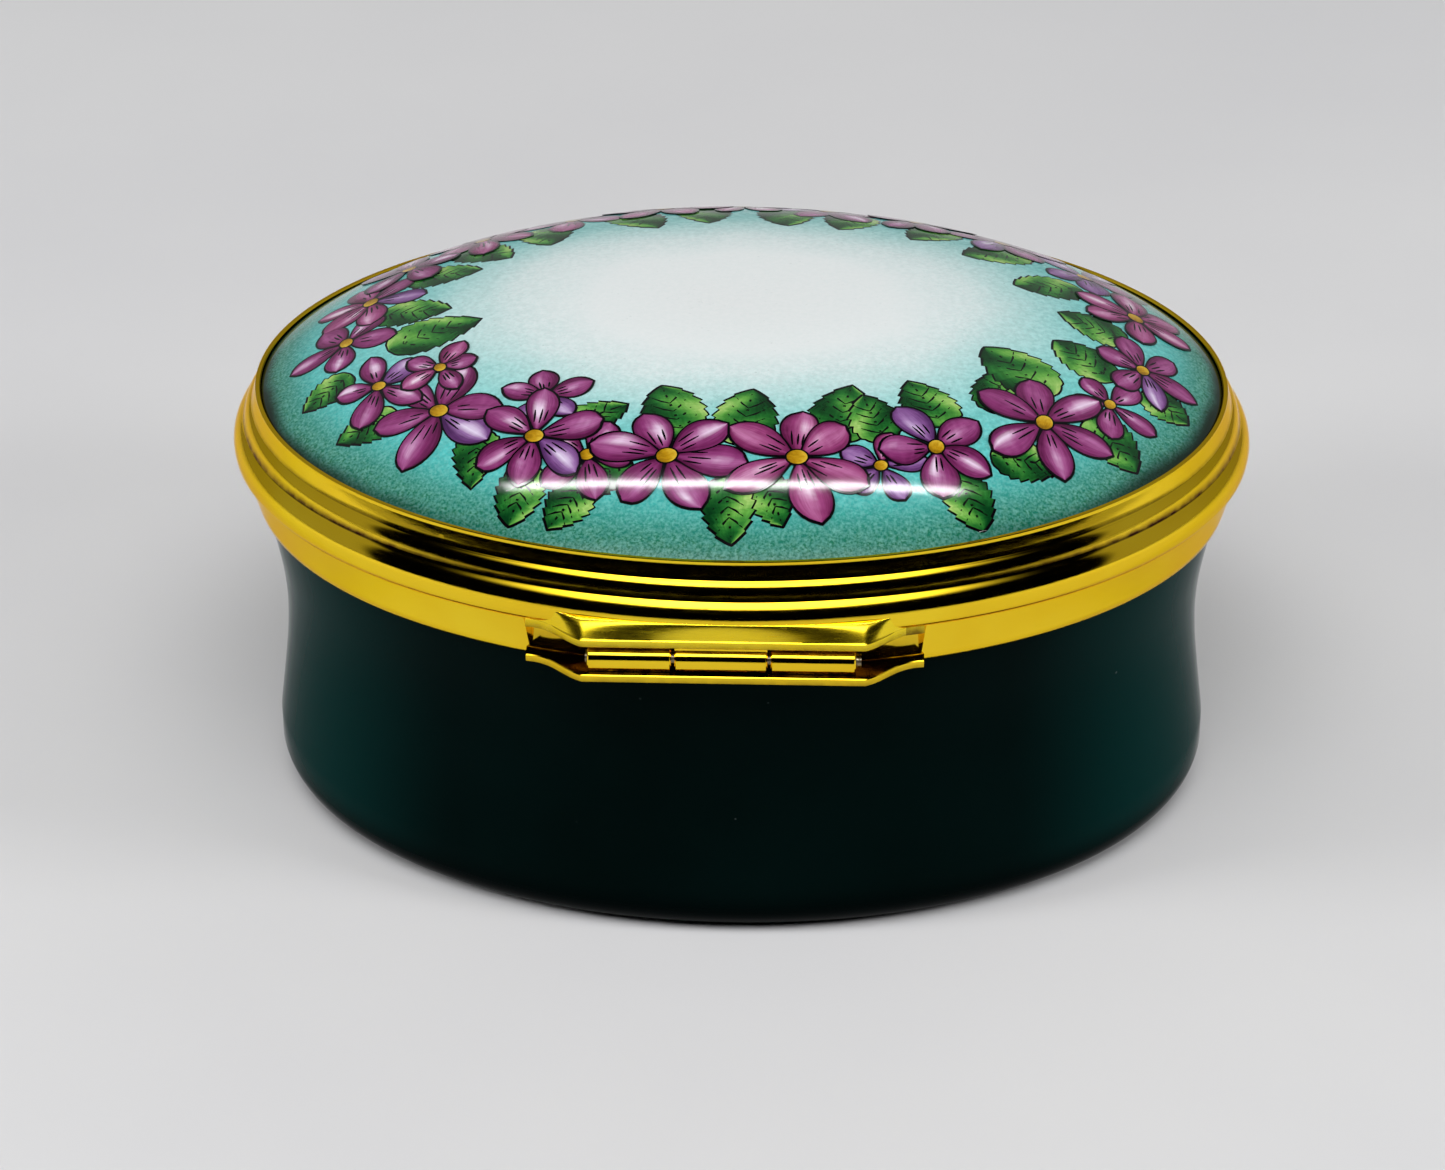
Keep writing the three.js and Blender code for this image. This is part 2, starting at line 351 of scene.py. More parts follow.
# ---- materials ---------------------------------------------------------------------------------
def gilt_material(name, roughness, base):
    """Gilt brass: fine rubbing marks, a few pits, warm brown dirt and painted shade in the hollows.
    """
    n = MaterialNodes(name)
    rub = n.noise(900, 4, 0.6, vector=n.stretched(1, 1, 9))
    cloud = n.noise(140, 3)
    pits = n.remap(n.spots(420), 0.05, 0.1)
    dirt = n.remap(n.noise(1500, 3), 0.35, 0.65)
    # Dirt and painted shade stored on the points, broken up by noise.
    dirt_and_shade = n.calc("MULTIPLY", n.attribute("dirt_and_shade"), n.remap(dirt, 0, 1, 0.65, 1.0))
    worn = srgb(base[0] - 8, base[1] - 16, base[2] - 14)
    tone = n.mix(n.remap(cloud, 0.3, 0.7), srgb(*base), worn)
    rubbed = n.remap(rub, 0.3, 0.7, roughness - 0.035, roughness + 0.04)
    fine = n.bump(rub, 0.004, 0.25)
    return n.surface(
        # Painted shade with dirt: the gilt turns dark brown in creases, recesses and undersides.
        Base_Color=n.mix(dirt_and_shade, tone, srgb(60, 17, 3)),
        Metallic=1.0,
        Roughness=n.calc("ADD", rubbed, n.calc("MULTIPLY", dirt_and_shade, 0.05)),
        Specular_Tint=(1.0, 0.72, 0.2, 1),
        Normal=n.bump(pits, 0.01, 0.35, after=fine),
        Coat_Weight=0.2,
        Coat_Roughness=0.06,
    )


def dark_enamel():
    """Uneven, glassy green-black vitreous enamel, a few dust specks, painted reflection and shadow.
    """
    n = MaterialNodes("dark_enamel")
    cloud = n.noise(90, 3)
    specks = n.remap(n.spots(700), 0.035, 0.06, 1.0, 0.0)
    few = n.remap(n.noise(260, 1), 0.56, 0.6)
    dust = n.calc("MULTIPLY", specks, few)
    x, _, z = n.axes()
    # Painted reflection: the colour lightens to teal towards the two ends of the oval.
    ends = n.remap(n.calc("ABSOLUTE", x), 0.014, 0.025, smooth=True)
    # Painted shadow: the colour turns near black at the foot, where the bowl meets the table.
    clear_of_foot_shadow = n.remap(z, 0.0008, 0.003, smooth=True)
    deep = n.mix(n.remap(cloud, 0.3, 0.7), srgb(2, 11, 10), srgb(3, 16, 15))
    base = n.mix(ends, deep, srgb(5, 46, 44))
    base = n.mix(clear_of_foot_shadow, srgb(0, 3, 3), base)
    return n.surface(
        Base_Color=n.mix(n.calc("MULTIPLY", dust, 0.25), base, srgb(120, 130, 130)),
        Roughness=n.remap(n.noise(300, 2), 0.3, 0.7, 0.05, 0.12),
        Specular_IOR_Level=0.012,
        Specular_Tint=(0.35, 0.95, 0.95, 1),
        Normal=n.bump(n.noise(120, 2), 0.02, 0.25),
    )


def turquoise_enamel():
    """Sprayed turquoise that fades to white in the middle and greens towards the edge, where
    painted shade darkens it at the two ends of the oval."""
    n = MaterialNodes("turquoise_enamel")
    wander = n.remap(n.noise(160, 3), 0.25, 0.75, -0.035, 0.035)
    reach = n.calc("ADD", dome_reach(n, 1.13 * DOME_A, DOME_R), wander)
    rim = n.calc("ADD", dome_reach(n, DOME_A, DOME_R), n.calc("MULTIPLY", wander, 0.3))
    field = n.ramp(
        reach,
        (0.0, srgb(238, 241, 241)),
        (0.28, srgb(238, 243, 243)),
        (0.42, srgb(228, 241, 241)),
        (0.53, srgb(192, 230, 229)),
        (0.66, srgb(126, 213, 211)),
        (0.8, srgb(84, 198, 196)),
        (0.9, srgb(72, 186, 180)),
    )
    field = n.mix(n.remap(rim, 0.86, 0.975, smooth=True), field, srgb(30, 110, 78))
    ends = n.remap(n.calc("ABSOLUTE", n.axes()[0]), 0.008, 0.024, 0.15, 1.0, smooth=True)
    # Painted shade: the edge darkens to near black towards the two ends of the oval.
    end_edge_shade = n.calc("MULTIPLY", n.remap(rim, 0.962, 1.0, smooth=True), ends)
    strength = n.remap(reach, 0.3, 0.7, 0.08, 1.0)
    grain = n.remap(n.noise(6500, 2, 0.6), 0.36, 0.66)
    blotch = n.remap(n.noise(3300, 3, 0.6), 0.36, 0.64)
    grain = n.calc("MULTIPLY", n.calc("MULTIPLY", grain, strength), 0.4)
    blotch = n.calc("MULTIPLY", n.calc("MULTIPLY", blotch, strength), 0.36)
    pale = n.mix(grain, field, srgb(150, 220, 214))
    mottled = n.mix(blotch, pale, srgb(38, 128, 122))
    dots = n.remap(n.spots(2600), 0.1, 0.2, 1.0, 0.0)
    dots = n.calc("MULTIPLY", dots, n.remap(n.noise(700, 2), 0.5, 0.7))
    dots = n.calc("MULTIPLY", dots, n.remap(reach, 0.3, 0.8, 0.12, 0.5))
    colour = n.mix(dots, mottled, srgb(20, 78, 70))
    colour = n.mix(end_edge_shade, colour, srgb(5, 30, 18))
    normal = n.bump(n.noise(2600, 2), 0.0012, 0.5, after=n.bump(n.noise(420, 2), 0.006, 0.3))
    return n.surface(Base_Color=colour, Roughness=0.09, Specular_IOR_Level=0.4, Normal=normal)


def white_enamel():
    """Off-white counter enamel with small grey fire specks."""
    n = MaterialNodes("white_enamel")
    specks = n.remap(n.spots(650), 0.05, 0.09, 1.0, 0.0)
    few = n.remap(n.noise(300, 1), 0.5, 0.6)
    cream = n.mix(n.remap(n.noise(70, 3), 0.3, 0.7), srgb(240, 238, 230), srgb(229, 226, 214))
    colour = n.mix(n.calc("MULTIPLY", specks, few), cream, srgb(120, 118, 110))
    normal = n.bump(n.noise(200, 2), 0.015, 0.3)
    return n.surface(Base_Color=colour, Roughness=0.12, Normal=normal)


def copper_core():
    """Pressed copper, browned in clouds by the kiln."""
    n = MaterialNodes("copper_core")
    colour = n.mix(n.remap(n.noise(300, 3), 0.3, 0.7), srgb(184, 115, 74), srgb(120, 66, 44))
    rough = n.remap(n.noise(800, 2), 0.3, 0.7, 0.3, 0.5)
    return n.surface(Base_Color=colour, Metallic=1.0, Roughness=rough)


def bedding_material():
    """Dry, grainy bedding paste."""
    n = MaterialNodes("bedding")
    grain = n.noise(2400, 4)
    colour = n.mix(n.remap(grain, 0.3, 0.7), srgb(190, 180, 156), srgb(150, 140, 118))
    return n.surface(Base_Color=colour, Roughness=0.9, Normal=n.bump(grain, 0.03))


def pin_steel():
    """Drawn wire with fine lines round it, dulled by handling."""
    n = MaterialNodes("pin_steel")
    lines = n.noise(2500, 3, vector=n.stretched(9, 1, 1))
    colour = n.mix(n.remap(lines, 0.3, 0.7), srgb(150, 140, 118), srgb(104, 92, 72))
    return n.surface(Base_Color=colour, Metallic=1.0, Roughness=n.remap(lines, 0.3, 0.7, 0.22, 0.4))


def paint_material(name):
    """Fired enamel colour laid on by brush: the stroke runs along each painted shape."""
    n = MaterialNodes(name)
    coords = n.new("ShaderNodeUVMap", uv_map="stroke").outputs["UV"]
    along = n.new("ShaderNodeMapping")
    n.link(coords, along.inputs["Vector"])
    along.inputs["Scale"].default_value = (14, 2.2, 1)
    streak = n.remap(n.noise(1.0, 3, 0.6, vector=along.outputs["Vector"]), 0.34, 0.66)
    paint = n.attribute("paint", "Color")
    dark = n.mix(0.45, paint, n.mix(1.0, paint, paint, "MULTIPLY"))
    colour = n.mix(streak, dark, paint)
    return n.surface(Base_Color=colour, Roughness=0.09, Specular_IOR_Level=0.4)


gilt = gilt_material("gilt", 0.075, (251, 216, 40))
satin_gilt = gilt_material("gilt_satin", 0.24, (253, 226, 46))
dark = dark_enamel()
turquoise = turquoise_enamel()
white = white_enamel()
copper = copper_core()
bedding = bedding_material()
steel = pin_steel()
painted = paint_material("painted_violets")


# ---- bowl --------------------------------------------------------------------------------------
ENAMEL = 0.35  # thickness of each layer of enamel
WALL = 1.28  # both layers and the copper between them


def bowl_curve():
    """The bowl's outside from the middle of the underside to the rim. Its side is one smooth
    curve (Catmull-Rom) through the belly, the two points of the waist and the neck."""
    foot, belly, neck = 2.1, 19.5, 19.9
    flat = [(r, 0.0) for r in np.linspace(0, belly - foot, 12)]
    turn_up = [p[:2] for p in arc(belly - foot, foot, foot, -math.pi / 2, -0.12, 14)][1:]
    knots = np.array([(belly, 3.2), (18.95, 8.3), (19.05, 12), (neck, 16.4)])
    side = []
    for k in range(3):
        p0, p1, p2, p3 = knots[max(k - 1, 0)], knots[k], knots[k + 1], knots[min(k + 2, 3)]
        for u in np.linspace(0, 1, 12, endpoint=False):
            a = 2 * p1 + (p2 - p0) * u
            b = (2 * p0 - 5 * p1 + 4 * p2 - p3) * u**2 + (3 * p1 - p0 - 3 * p2 + p3) * u**3
            side.append(tuple((a + b) / 2))
    return flat + turn_up + side + [tuple(knots[-1]), (neck, bowl_hi.z)]


bowl = bowl_curve()
outer = skin("bowl_outer_enamel", bowl, 0, ENAMEL, BOWL_CORE)
stand_in(outer, dark, "base", "dark_enamel", "base_outer_enamel")
inner = skin("bowl_inner_enamel", bowl, WALL - ENAMEL, WALL, BOWL_CORE)
stand_in(inner, white, "base", "white_enamel", "base_inner_enamel")


# ---- dome --------------------------------------------------------------------------------------
EDGE_Z = 22.5  # height of the dome's edge
RISE = dome_hi.z - EDGE_Z
ROLL, SHOULDER = 3.465, 0.98  # powers that flatten the crown and round the shoulder


def dome_height(share):
    """Height of the enamel over the table, where share is 0 in the middle and 1 at the edge."""
    return EDGE_Z + RISE * max(0.0, 1 - share**ROLL) ** SHOULDER


def dome_curve():
    """The dome's outside from the middle to the edge, and down the edge."""
    crown = [(DOME_R * s, dome_height(s)) for s in np.sin(np.linspace(0, math.pi / 2, 44))]
    shoulder = [(DOME_R, z) for z in np.linspace(EDGE_Z, dome_lo.z, 4)[1:]]
    return crown + shoulder


dome = dome_curve()
outer = skin("dome_outer_enamel", dome, 0, -ENAMEL, DOME_CORE)
stand_in(outer, turquoise, "lid", "turquoise_enamel", "lid_outer_enamel")
inner = skin("dome_inner_enamel", dome, ENAMEL - WALL, -WALL, DOME_CORE)
stand_in(inner, white, "lid", "white_enamel", "lid_inner_enamel")


# ---- mounts ------------------------------------------------------------------------------------
BORE = 19.87  # half width inside the lid's mount
LIP = 20.12  # half width over its top edge
BAND_TOP = 20.98  # half width over the base's band at the joint


def lid_bezel_profile():
    """From the inside bottom edge out over the band, then up over two soft rolls to the lip."""
    top, bottom = lid_hi.z, lid_lo.z
    crest = arc(BEAD_R - 1.5, 19.6, 1.5, math.radians(-14), math.radians(49), 16)
    step = arc(BEAD_R - 1.62, 20.9, 1.0, math.radians(18), math.radians(52), 10)
    # Each point's third number is dirt and painted shade, highest in the creases between the rolls.
    return [
        (BORE, bottom, 0.0),
        (BAND_TOP + 0.1, bottom, 0.0),
        (BAND_TOP + 0.14, bottom + 0.03, 0.2),
        *crest,
        (20.85, 20.78, 1.0),
        (20.82, 20.86, 1.0),
        (20.78, 21.03, 0.5),
        *step,
        (20.37, 21.73, 0.6),
        (20.31, 21.95, 0.1),
        (20.16, 22.44, 0.0),
        (LIP + 0.02, 22.5, 0.0),
        (LIP + 0.02, top - 0.03, 0.0),
        (LIP - 0.02, top, 0.0),
        (BORE + 0.05, top, 0.0),
        (BORE, top - 0.06, 0.0),
    ]


def base_bezel_columns():
    """The plain band, cut back over the length of the hinge so that the barrels have room."""
    foot, mouth, flange = base_lo.z, 18.5, PARTING - 0.52
    foot_r, bore, recess = 20.26, 19.96, 20.14
    ledge = plate_hi.z + 0.04
    half = (leaf_hi.x - leaf_lo.x) / 2 + 0.08
    middle = (leaf_hi.x + leaf_lo.x) / 2

    def profile(cut):
        """The band's section, cut back where the hinge stands."""
        band = BAND_TOP - foot_r
        shelf_r = foot_r + band * (ledge - foot) / (PARTING - foot)
        wall_r = recess if cut else shelf_r
        top_r = recess if cut else BAND_TOP
        corners = [(bore, foot, 0), (foot_r - 0.04, foot, 0), (foot_r + 0.01, foot + 0.04, 0)]
        # Where the band is cut back for the hinge, its recess wall carries painted shade with dirt.
        corners += [(shelf_r, ledge, 0), (wall_r, ledge + 0.005, 0, 0.5 if cut else 0)]
        corners += [(top_r - (0 if cut else 0.005), PARTING - 0.02, 0), (top_r - 0.02, PARTING, 0)]
        corners += [(mouth + 0.05, PARTING, 0), (mouth, PARTING - 0.05, 0)]
        corners += [(mouth, flange, 0), (bore, flange, 0)]
        return rounded(corners)

    def angle_at(x):
        """The angle of the oval where the band's top edge is at x on the hinge side."""
        return -math.acos(x / (BAND_TOP + STRETCH)) % (2 * math.pi)

    left, right = angle_at(middle - half), angle_at(middle + half)
    step = 2 * math.pi / SIDES
    angles = [i * step for i in range(SIDES)]
    columns = [(a, profile(left < a < right)) for a in angles]
    for edge, before, after in ((left, False, True), (right, True, False)):
        columns += [(edge - 1e-6, profile(before)), (edge + 1e-6, profile(after))]
    return sorted(columns, key=lambda column: column[0])


bezel = turn("lid_mount", lid_bezel_profile(), BOWL_CORE)
bezel.data.set_sharp_from_angle(angle=math.radians(25))
stand_in(bezel, gilt, "lid", "gilt_brass", "lid_bezel")
bezel = oval_ring("base_mount", base_bezel_columns(), BOWL_CORE)
stand_in(bezel, gilt, "base", "gilt_brass", "base_bezel")


def flat_ring(name, inner_r, lo, hi, core):
    """A ring of rectangular section between two corners of a CAD box, its edges eased."""
    corners = ((inner_r, lo.z), (hi.y, lo.z), (hi.y, hi.z), (inner_r, hi.z))
    return turn(name, rounded([(r, z, 0.06) for r, z in corners]), core)


collar = flat_ring("locating_collar", collar_hi.y - 0.35, collar_lo, collar_hi, BOWL_CORE)
stand_in(collar, gilt, "base", "gilt_brass", "base_collar")
seat = flat_ring("dome_seat", 18.6, seat_lo, seat_hi, DOME_CORE)
stand_in(seat, gilt, "lid", "gilt_brass", "lid_seat_ring")


# ---- hinge -------------------------------------------------------------------------------------
HINGE_X = (leaf_lo.x + leaf_hi.x) / 2
AXIS = Vector([v / MM for v in frame["record"]["behaviour"]["joints"][0]["pos_m"]])
BARREL = 0.68  # radius
HALF_EDGE = 7.13  # half length of a leaf's straight front edge
HALF_WING = (leaf_hi.x - leaf_lo.x) / 2  # half length over the ogee ends


def ogee_edge(x, front):
    """How far forward a leaf reaches at x: straight in the middle, an ogee at each end."""
    across = abs(x)
    if across <= HALF_EDGE:
        return front
    knots = [(HALF_EDGE, front), (8.3, -20.9), (8.6, -19.7), (HALF_WING, -19.55)]
    low, high = 0.0, 1.0
    for _ in range(30):
        u = (low + high) / 2
        weights = ((1 - u) ** 3, 3 * u * (1 - u) ** 2, 3 * u * u * (1 - u), u**3)
        px = sum(w * k[0] for w, k in zip(weights, knots))
        low, high = (u, high) if px < across else (low, u)
    return sum(w * k[1] for w, k in zip(weights, knots))


def band_edge(x, r):
    """The mount's outside at x, on the hinge side."""
    return -r * math.sqrt(1 - (x / (r + STRETCH)) ** 2)


def leaf_mesh(name, front, bottom, top_at, back_at, edge=0.05, dirt_and_shade=0.0):
    """A hinge leaf lofted along X. top_at takes the share of the way from the front edge to the
    mount and gives the height of the upper face; back_at(x) is where the leaf meets the mount.
    Its edges are eased by edge. The last argument is the dirt and painted shade on the upper
    face, and the lower edges carry painted shade too."""
    stations, steps = 160, 24
    xs = [HALF_WING * math.sin(math.pi / 2 * (2 * i / stations - 1)) for i in range(stations + 1)]
    rows = []
    for x in xs:
        near, far = ogee_edge(x, front), back_at(x + HINGE_X)
        end = max(0.0, min(1.0, (HALF_WING - abs(x)) / edge))
        near += edge * (1 - math.sqrt(1 - (1 - end) ** 2))
        depth = max(far - near, 0.02)
        lip = min(edge, (top_at(0) - bottom) / 3, depth / 3)
        row = [(near + lip, bottom), (near, bottom + lip), (near, top_at(0) - lip)]
        for i in range(steps + 1):
            row.append((near + lip + (depth - lip) * i / steps, top_at(i / steps)))
        row += [(far + 0.3, top_at(1)), (far + 0.3, bottom)]
        rows.append([(x + HINGE_X, y, z) for y, z in row])
    count = len(rows[0])
    faces = []
    for i in range(len(rows) - 1):
        for j in range(count):
            n = (j + 1) % count
            faces.append((i * count + j, (i + 1) * count + j, (i + 1) * count + n, i * count + n))
    faces.append(tuple(range(count)))
    faces.append(tuple((len(rows) - 1) * count + j for j in reversed(range(count))))
    mesh = bpy.data.meshes.new(name)
    mesh.from_pydata([tuple(c * MM for c in p) for row in rows for p in row], [], faces)
    face_outwards(mesh)
    # Painted shade along each leaf's lower edges, and dirt and painted shade over its upper face.
    leaf_dirt_and_shade = [0.9, 0.6, 0.0] + [dirt_and_shade * min(1.0, i / 3) for i in range(steps + 1)] + [dirt_and_shade, 0.9]
    store_dirt_and_shade(mesh, leaf_dirt_and_shade * len(rows))
    return finish_mesh(bpy.data.objects.new(name, mesh), mesh, 30)


ROOT_Z, EDGE_TOP = leaf_hi.z + 0.04, 18.9


def lid_leaf_top(share):
    """Steep at the front edge, then rounding over to meet the mount."""
    return EDGE_TOP + (ROOT_Z - EDGE_TOP) * math.sin(math.pi / 2 * min(1.0, 1.15 * share))


leaf = leaf_mesh(
    "upper_hinge_leaf",
    leaf_lo.y,
    leaf_lo.z,
    top_at=lid_leaf_top,
    back_at=lambda x: band_edge(x, BEAD_R - 0.04),
)
stand_in(leaf, satin_gilt, "lid", "gilt_brass", "lid_hinge_leaf")
plate = leaf_mesh(
    "lower_hinge_leaf",
    plate_lo.y,
    plate_lo.z,
    top_at=lambda share: plate_hi.z,
    back_at=lambda x: band_edge(x, 20.45),
    edge=0.04,
    # This leaf lies under the barrels: dirt and painted shade on its upper face.
    dirt_and_shade=0.85,
)
stand_in(plate, gilt, "base", "gilt_brass", "base_hinge_leaf")


def barrel(name, x0, x1, web):
    """A hinge barrel with its web, up (+1) to the lid's leaf or down (-1) to the base's."""
    sides, bore, chamfer, web_half = 64, 0.37, 0.07, 0.3
    reach = (leaf_lo.z - 0.02 - AXIS.z) if web > 0 else (AXIS.z - plate_hi.z - 0.02)
    rings = []
    steps = [(x0, bore), (x0, -chamfer), (x0 + chamfer, 0)]
    steps += [(x1 - chamfer, 0), (x1, -chamfer), (x1, bore)]
    for x, grow in steps:
        ring = []
        for i in range(sides):
            a = 2 * math.pi * i / sides
            c, s = math.cos(a), math.sin(a) * web
            r = BARREL
            if s > 0:
                r = max(r, min(reach / s, web_half / max(abs(c), 1e-6)))
            r = bore if grow == bore else r + grow
            ring.append((x, AXIS.y + r * c, AXIS.z + r * math.sin(a)))
        rings.append(ring)
    faces = []
    count = len(rings)
    for i in range(count):
        k = (i + 1) % count
        for j in range(sides):
            n = (j + 1) % sides
            faces.append((i * sides + j, i * sides + n, k * sides + n, k * sides + j))
    mesh = bpy.data.meshes.new(name)
    mesh.from_pydata([tuple(c * MM for c in p) for ring in rings for p in ring], [], faces)
    face_outwards(mesh)
    heights = [math.sin(2 * math.pi * i / sides) for i in range(sides)]
    # Painted shade under each barrel, darkest where its surface faces down.
    underside_shade = [max(0.0, min(1.0, -2.5 * height - 1)) for height in heights]
    store_dirt_and_shade(mesh, underside_shade * count)
    return finish_mesh(bpy.data.objects.new(name, mesh), mesh, 30)


for node, body, web in (
    ("base_knuckle_left", "base", -1),
    ("lid_knuckle_middle", "lid", 1),
    ("base_knuckle_right", "base", -1),
):
    lo, hi = node_box(node)
    piece = barrel(node.replace("knuckle", "barrel"), lo.x, hi.x, web)
    stand_in(piece, gilt, body, "gilt_brass", node)


# ---- CAD nodes that keep their own shape -------------------------------------------------------
kept = {
    "base_copper_bowl": copper,
    "lid_copper_dome": copper,
    "base_bedding_ring": bedding,
    "lid_bedding_ring": bedding,
    "hinge_pin": steel,
    "base_catch_bead": gilt,
    "lid_thumb_lip": gilt,
}
for name, material in kept.items():
    mesh = frame["nodes"][name].data
    mesh.materials.clear()
    mesh.materials.append(material)


# ---- painted wreath ----------------------------------------------------------------------------
LAYER = 0.0015  # millimetres between one painted layer and the next
SUNK = 0.004  # how deep in the enamel a shape's underside lies
LINE_LIFT = 1.6 * LAYER  # veins over the petal or leaf they are drawn on
HEART = 0.25  # where petals start, from the middle of the flower
rng = random.Random(11)

MAGENTA = [(88, 22, 66), (138, 52, 112), (178, 104, 158), (240, 222, 240)]
ROSE = [(96, 24, 68), (156, 66, 122), (196, 124, 170), (246, 230, 242)]
LAVENDER = [(78, 40, 92), (132, 82, 146), (176, 138, 190), (236, 226, 244)]
LEAF_TONES = [(8, 62, 26), (34, 112, 44), (106, 174, 74), (188, 216, 130)]
INK = (12, 9, 14)
OCHRE = [(110, 78, 8), (190, 146, 20), (232, 202, 76)]


def blend(stops, share):
    """A colour along a short list of colours."""
    share = max(0.0, min(1.0, share)) * (len(stops) - 1)
    k = min(int(share), len(stops) - 2)
    f = share - k
    return tuple(a + (b - a) * f for a, b in zip(stops[k], stops[k + 1]))


class Paint:
    """Gathers painted shapes on the dome into one mesh. Each shape is a thin closed body."""

    def __init__(self):
        self.points, self.faces, self.colours, self.strokes = [], [], [], []

    def place(self, x, y, lift):
        """The point of the dome over (x, y), raised along the dome's normal."""
        share = min(math.hypot(x / DOME_A, y / DOME_R), 0.985)
        slope = -RISE * ROLL * SHOULDER * share ** (ROLL - 2)
        slope *= max(1e-6, 1 - share**ROLL) ** (SHOULDER - 1)
        normal = Vector((-slope * x / DOME_A**2, -slope * y / DOME_R**2, 1)).normalized()
        return Vector((x, y, dome_height(share))) + normal * lift

    def patch(self, grid, lift, colours):
        """grid[i][j] is an (x, y) on the lid; i runs along the shape and j across it."""
        rows, cols = len(grid), len(grid[0])
        start = len(self.points)
        for level in (lift, -SUNK):
            for i in range(rows):
                for j in range(cols):
                    self.points.append(self.place(*grid[i][j], level) * MM)
                    self.colours.append(srgb(*colours[i][j]))
                    self.strokes.append((j / (cols - 1), i / (rows - 1)))
        half = rows * cols

        def at(i, j, low=False):
            return start + i * cols + j + (half if low else 0)

        for i in range(rows - 1):
            for j in range(cols - 1):
                quad = [at(i, j), at(i, j + 1), at(i + 1, j + 1), at(i + 1, j)]
                self.faces.append(quad)
                self.faces.append([v + half for v in reversed(quad)])
        rim = [(0, j) for j in range(cols)]
        rim += [(i, cols - 1) for i in range(1, rows)]
        rim += [(rows - 1, j) for j in range(cols - 2, -1, -1)]
        rim += [(i, 0) for i in range(rows - 2, 0, -1)]
        for k, here in enumerate(rim):
            there = rim[(k + 1) % len(rim)]
            self.faces.append([at(*there), at(*here), at(*here, True), at(*there, True)])

    def piece(self, name):
        """One object, with the colours and the direction of each brush stroke as attributes."""
        mesh = bpy.data.meshes.new(name)
        mesh.from_pydata([tuple(p) for p in self.points], [], self.faces)
        paint = mesh.color_attributes.new("paint", "FLOAT_COLOR", "POINT")
        paint.data.foreach_set("color", [c for colour in self.colours for c in colour])
        layer = mesh.uv_layers.new(name="stroke")
        corners = np.empty(len(mesh.loops), dtype=np.int32)
        mesh.loops.foreach_get("vertex_index", corners)
        layer.data.foreach_set("uv", np.array(self.strokes)[corners].reshape(-1))
        face_outwards(mesh)
        return finish_mesh(bpy.data.objects.new(name, mesh), mesh, 40)


petals, leaves, ink, centres = Paint(), Paint(), Paint(), Paint()


class Spot:
    """A place on the dome with a heading. Local shapes are drawn in flat millimetres there."""

    def __init__(self, angle, reach, heading=0.0):
        a = math.radians(angle)
        self.x, self.y = DOME_A * reach * math.cos(a), DOME_R * reach * math.sin(a)
        outward = Vector((self.x / DOME_A**2, self.y / DOME_R**2)).normalized()
        self.out = outward
        self.side = Vector((-outward.y, outward.x))
        tilt = RISE * ROLL * SHOULDER * reach ** (ROLL - 1) / DOME_R
        self.squeeze = 1 / math.sqrt(1 + tilt * tilt)
        self.heading = math.radians(heading)

    def at(self, u, v):
        """The (x, y) that lies u to the side of the heading and v along it, in millimetres."""
        c, s = math.cos(self.heading), math.sin(self.heading)
        out, side = v * c - u * s, v * s + u * c
        p = self.out * out * self.squeeze + self.side * side
        return self.x + p.x, self.y + p.y

    def turned(self, degrees):
        """The same place with its heading turned."""
        twin = copy.copy(self)
        twin.heading = self.heading + math.radians(degrees)
        return twin


def blade(spot, length, width, start, shape, grow, rows, cols, bend, teeth=None):
    """A grid for a petal or leaf that starts `start` mm from the spot. shape is the pair of powers
    that swell it from its base and draw it to its tip, grow widens it on all sides, and teeth is
    the number of saw teeth along each side and their depth."""
    swell, taper = shape
    widest = swell / (swell + taper)
    peak = widest**swell * (1 - widest) ** taper
    grid = []
    for i in range(rows):
        v = i / (rows - 1)
        half = width / 2 * v**swell * (1 - v) ** taper / peak
        along = start - grow + (length + 2.6 * grow) * v
        lean = bend * length * v * v
        edge = half + grow * min(1.0, 5 * (1 - v) + 0.2)
        if teeth:
            saw = 1 - (v * teeth[0]) % 1.0
            edge += teeth[1] * (saw - 0.5) * math.sin(math.pi * v) ** 0.6
        edge = max(edge, 0.02)
        row = []
        for j in range(cols):
            u = 2 * j / (cols - 1) - 1
            row.append(spot.at(lean + u * edge, along))
        grid.append(row)
    return grid


def stroke(spot, points, width, lift):
    """A tapering brush line through local points."""
    rows = len(points)
    grid, tones = [], []
    for i, (u, v) in enumerate(points):
        a = points[max(0, i - 1)]
        b = points[min(rows - 1, i + 1)]
        along = Vector((b[0] - a[0], b[1] - a[1]))
        along = along.normalized() if along.length > 1e-9 else Vector((0, 1))
        half = width / 2 * max(0.12, math.sin(math.pi * (0.12 + 0.8 * i / (rows - 1))) ** 0.7)
        left = spot.at(u - along.y * half, v + along.x * half)
        right = spot.at(u + along.y * half, v - along.x * half)
        grid.append([left, right])
        tones.append([INK, INK])
    ink.patch(grid, lift, tones)


